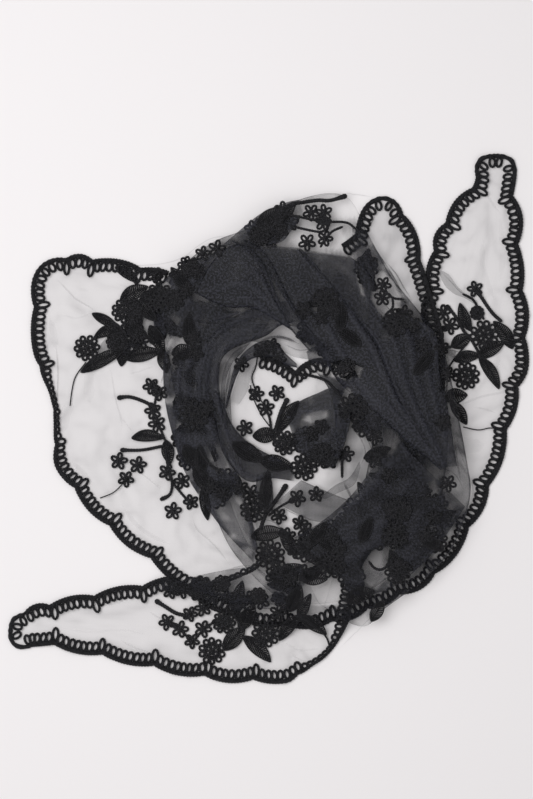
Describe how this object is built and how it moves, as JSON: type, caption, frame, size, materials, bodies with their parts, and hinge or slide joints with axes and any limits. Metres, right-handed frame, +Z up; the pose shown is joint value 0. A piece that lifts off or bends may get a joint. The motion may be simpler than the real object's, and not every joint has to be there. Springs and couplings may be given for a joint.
{
  "type": "lace headscarf",
  "caption": "Triangular sheer black organza headscarf with embroidered flower sprays and a scalloped lace edging, lying in a loose swirl.",
  "frame": {"origin": "on the surface that the scarf lies on, under the middle of its outline", "axes": "+Z up from that surface, +X towards the tip that points right, +Y towards the upright tip, as seen from above"},
  "size_m": [0.4624, 0.4674, 0.0238],
  "materials": {
    "organza": "sheer, crisp, faintly lustrous black organza",
    "edging_cord": "matt twisted black cord and ladder stitch",
    "embroidery_thread": "black embroidery thread with a soft sheen"
  },
  "bodies": {
    "root": {"organza_sheet": "organza", "long_side_edging_lower": "edging_cord", "long_side_edging_inner": "edging_cord", "long_side_edging_right": "edging_cord", "left_side_edging": "edging_cord", "right_side_edging": "edging_cord", "rose_1": "embroidery_thread", "rose_2": "embroidery_thread", "rose_3": "embroidery_thread", "rose_4": "embroidery_thread", "rose_5": "embroidery_thread", "rose_6": "embroidery_thread", "rose_7": "embroidery_thread", "rose_8": "embroidery_thread", "rose_9": "embroidery_thread", "leaf_1": "embroidery_thread", "leaf_2": "embroidery_thread", "leaf_3": "embroidery_thread", "leaf_4": "embroidery_thread", "leaf_5": "embroidery_thread", "leaf_6": "embroidery_thread", "leaf_7": "embroidery_thread", "leaf_8": "embroidery_thread", "leaf_9": "embroidery_thread", "leaf_10": "embroidery_thread", "leaf_11": "embroidery_thread", "leaf_12": "embroidery_thread", "blossom_spray_1": "embroidery_thread", "blossom_spray_2": "embroidery_thread", "blossom_spray_3": "embroidery_thread", "blossom_spray_4": "embroidery_thread", "blossom_spray_5": "embroidery_thread", "blossom_spray_6": "embroidery_thread"}
  },
  "joints": []
}
